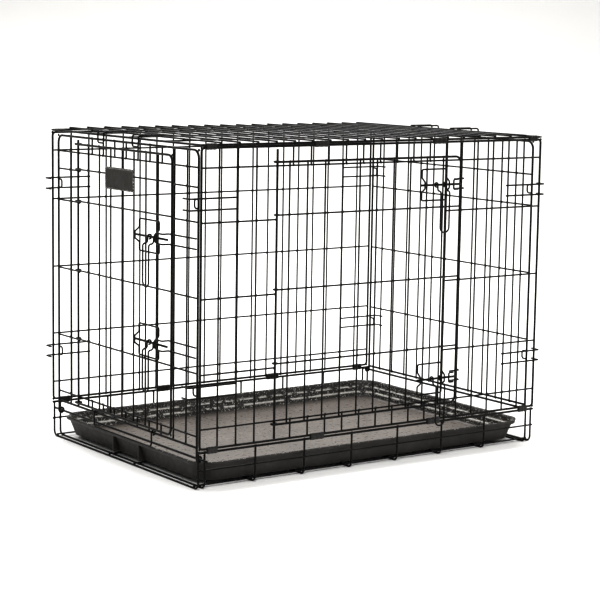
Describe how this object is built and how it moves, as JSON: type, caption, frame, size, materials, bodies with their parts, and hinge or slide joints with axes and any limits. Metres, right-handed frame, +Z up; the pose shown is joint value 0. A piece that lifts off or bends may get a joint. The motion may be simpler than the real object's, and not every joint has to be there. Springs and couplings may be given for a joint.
{
  "type": "wire dog crate",
  "caption": "Folding wire dog crate with a large front door, an end door, slide bolts, a lid, a wire base and a removable pan.",
  "frame": {"origin": "on the floor, under the middle of the crate", "axes": "+X along the crate away from the end with a door, -Y out through the large front door, +Z up"},
  "size_m": [0.671, 0.4772, 0.5011],
  "materials": {
    "wire_coating": "satin black electro-coat on steel wire",
    "clip_coating": "satin black sheet steel",
    "pan_plastic": "black moulded plastic with a pebbled face",
    "plate_enamel": "blank dark enamelled plate"
  },
  "bodies": {
    "base": {"base_cross_wires": "wire_coating", "base_end_wires": "wire_coating", "base_floor_wires": "wire_coating", "base_front_top_rail": "wire_coating", "base_front_middle_rail": "wire_coating", "base_back_top_rail": "wire_coating", "base_back_middle_rail": "wire_coating", "left_hinge_rail": "wire_coating", "right_hinge_rail": "wire_coating", "front_base_clips": "clip_coating", "back_base_clips": "clip_coating"},
    "pan": {"pan": "pan_plastic"},
    "front_panel": {"front_panel_frame": "wire_coating", "front_panel_uprights": "wire_coating", "front_panel_rails": "wire_coating", "front_door_post": "wire_coating", "front_corner_hooks": "wire_coating", "front_bolt_keepers": "wire_coating"},
    "back_panel": {"back_panel_frame": "wire_coating", "back_panel_uprights": "wire_coating", "back_panel_rails": "wire_coating", "back_corner_hooks": "wire_coating"},
    "left_end": {"left_end_frame": "wire_coating", "left_end_bottom_wire": "wire_coating", "left_end_uprights": "wire_coating", "left_end_rails": "wire_coating", "left_door_post": "wire_coating", "left_end_stops": "wire_coating", "left_bolt_keepers": "wire_coating"},
    "right_end": {"right_end_frame": "wire_coating", "right_end_bottom_wire": "wire_coating", "right_end_uprights": "wire_coating", "right_end_rails": "wire_coating", "right_end_stops": "wire_coating"},
    "lid": {"lid_frame": "wire_coating", "lid_cross_wires": "wire_coating", "lid_long_wires": "wire_coating", "lid_end_hooks": "wire_coating", "lid_clips": "clip_coating"},
    "front_door": {"front_door_frame": "wire_coating", "front_door_uprights": "wire_coating", "front_door_rails": "wire_coating", "front_bolt_brackets": "wire_coating"},
    "left_door": {"left_door_frame": "wire_coating", "left_door_uprights": "wire_coating", "left_door_rails": "wire_coating", "left_bolt_brackets": "wire_coating", "name_plate": "plate_enamel"},
    "pan_stop": {"pan_stop": "wire_coating"},
    "front_upper_bolt": {"front_upper_bolt_rod": "wire_coating"},
    "front_upper_handle": {"front_upper_bolt_handle": "wire_coating"},
    "front_lower_bolt": {"front_lower_bolt_rod": "wire_coating"},
    "front_lower_handle": {"front_lower_bolt_handle": "wire_coating"},
    "left_upper_bolt": {"left_upper_bolt_rod": "wire_coating"},
    "left_upper_handle": {"left_upper_bolt_handle": "wire_coating"},
    "left_lower_bolt": {"left_lower_bolt_rod": "wire_coating"},
    "left_lower_handle": {"left_lower_bolt_handle": "wire_coating"}
  },
  "joints": [
    {"name": "front_panel_fold", "type": "hinge", "parent": "base", "child": "front_panel", "pos_m": [0, -0.2225, 0.06], "axis": [-1, 0, 0], "range_deg": [-90, 0]},
    {"name": "back_panel_fold", "type": "hinge", "parent": "base", "child": "back_panel", "pos_m": [0, 0.2225, 0.06], "axis": [1, 0, 0], "range_deg": [-90, 0]},
    {"name": "left_end_fold", "type": "hinge", "parent": "base", "child": "left_end", "pos_m": [-0.30972, 0, 0.043], "axis": [0, -1, 0], "range_deg": [-90, 0]},
    {"name": "right_end_fold", "type": "hinge", "parent": "base", "child": "right_end", "pos_m": [0.30972, 0, 0.0545], "axis": [0, 1, 0], "range_deg": [-85, 0]},
    {"name": "lid_open", "type": "hinge", "parent": "front_panel", "child": "lid", "pos_m": [0, -0.2225, 0.49025], "axis": [1, 0, 0], "range_deg": [0, 100]},
    {"name": "front_door_swing", "type": "hinge", "parent": "front_panel", "child": "front_door", "pos_m": [-0.19035, -0.22507, 0.276], "axis": [0, 0, -1], "range_deg": [0, 170]},
    {"name": "left_door_swing", "type": "hinge", "parent": "left_end", "child": "left_door", "pos_m": [-0.31609, 0.13967, 0.276], "axis": [0, 0, -1], "range_deg": [0, 150]},
    {"name": "front_upper_bolt_slide", "type": "slide", "parent": "front_door", "child": "front_upper_bolt", "axis": [-1, 0, 0], "range_m": [0, 0.022]},
    {"name": "front_upper_handle_lift", "type": "hinge", "parent": "front_upper_bolt", "child": "front_upper_handle", "pos_m": [0.11, -0.23307, 0.426], "axis": [-1, 0, 0], "range_deg": [0, 100]},
    {"name": "front_lower_bolt_slide", "type": "slide", "parent": "front_door", "child": "front_lower_bolt", "axis": [-1, 0, 0], "range_m": [0, 0.022]},
    {"name": "front_lower_handle_lift", "type": "hinge", "parent": "front_lower_bolt", "child": "front_lower_handle", "pos_m": [0.11, -0.23307, 0.126], "axis": [-1, 0, 0], "range_deg": [0, 100]},
    {"name": "left_upper_bolt_slide", "type": "slide", "parent": "left_door", "child": "left_upper_bolt", "axis": [0, 1, 0], "range_m": [0, 0.028]},
    {"name": "left_upper_handle_lift", "type": "hinge", "parent": "left_upper_bolt", "child": "left_upper_handle", "pos_m": [-0.32409, -0.1, 0.354], "axis": [0, 1, 0], "range_deg": [0, 100]},
    {"name": "left_lower_bolt_slide", "type": "slide", "parent": "left_door", "child": "left_lower_bolt", "axis": [0, 1, 0], "range_m": [0, 0.028]},
    {"name": "left_lower_handle_lift", "type": "hinge", "parent": "left_lower_bolt", "child": "left_lower_handle", "pos_m": [-0.32409, -0.1, 0.198], "axis": [0, 1, 0], "range_deg": [0, 100]},
    {"name": "pan_slide", "type": "slide", "parent": "base", "child": "pan", "axis": [-1, 0, 0], "range_m": [0, 0.6]},
    {"name": "pan_stop_flip", "type": "hinge", "parent": "left_end", "child": "pan_stop", "pos_m": [-0.31352, 0, 0.06], "axis": [0, 1, 0], "range_deg": [0, 90]}
  ]
}
